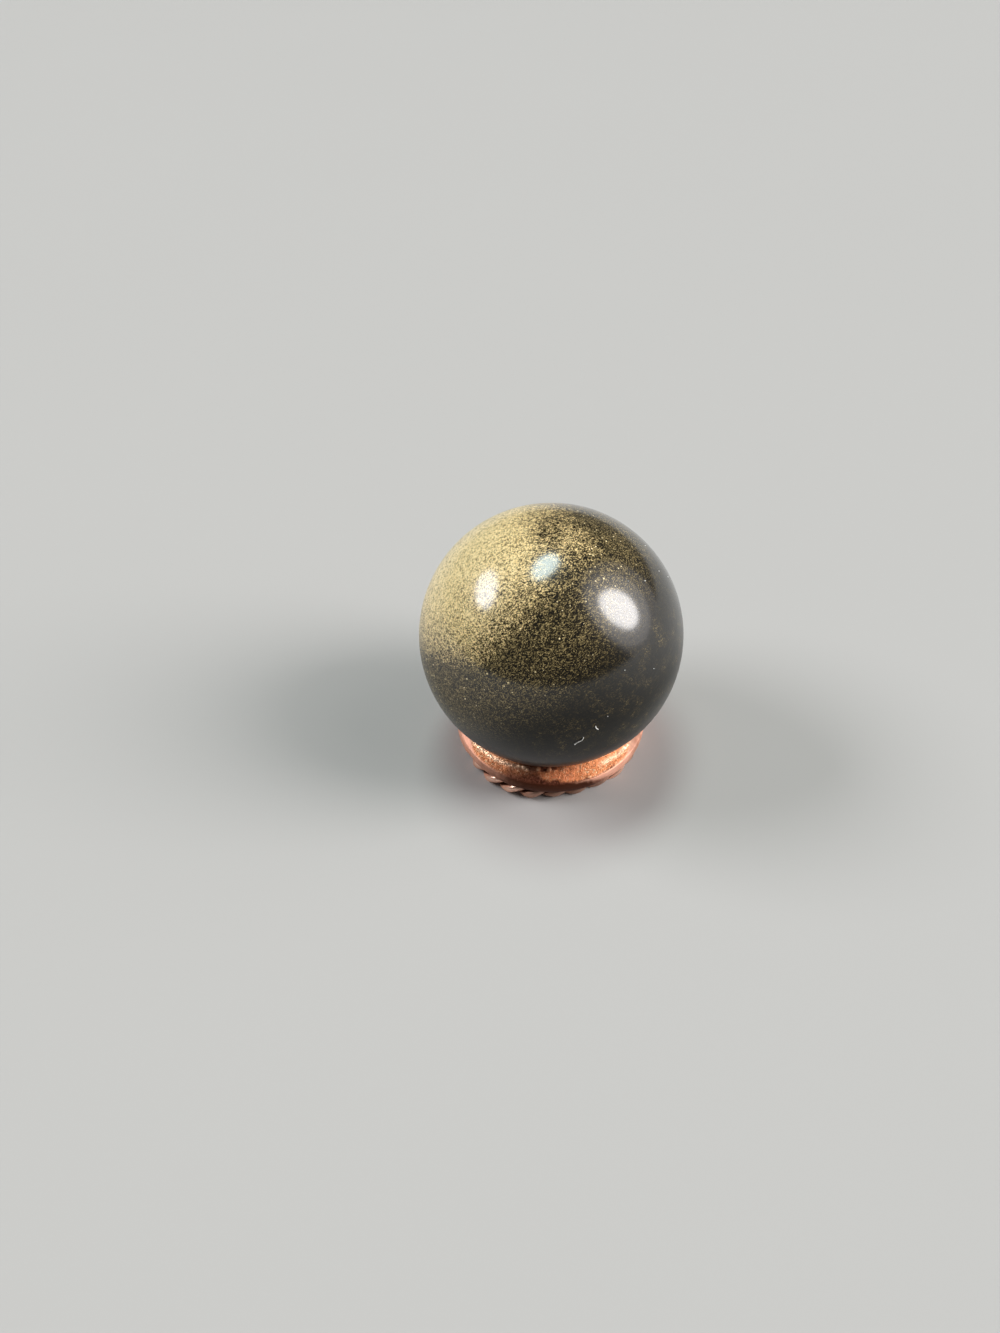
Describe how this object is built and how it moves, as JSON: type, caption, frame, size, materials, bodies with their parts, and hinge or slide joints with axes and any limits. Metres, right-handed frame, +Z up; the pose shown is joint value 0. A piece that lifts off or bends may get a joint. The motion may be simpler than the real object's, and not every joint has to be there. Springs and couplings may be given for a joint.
{
  "type": "gemstone sphere with ring stand",
  "caption": "Polished dark stone sphere with a golden sheen, resting in a small copper ring stand on a foot of twisted wire.",
  "frame": {"origin": "centre of the ring's band, on the plane that the foot rests on", "axes": "+Z up through the centre of the sphere and the ring, -Y towards the front, +X to the right seen from the front"},
  "size_m": [0.016, 0.016, 0.0167],
  "materials": {
    "polished_stone": "high polish, near-black volcanic glass with a granular golden sheen over its upper left side",
    "copper_band": "bare copper, burnished wall and grainy crown",
    "copper_wire": "bare drawn copper wire, bright on its crests and dark in its creases"
  },
  "bodies": {
    "root": {"stone_sphere": "polished_stone", "ring_band": "copper_band", "rope_strand_1": "copper_wire", "rope_strand_2": "copper_wire"}
  },
  "joints": []
}
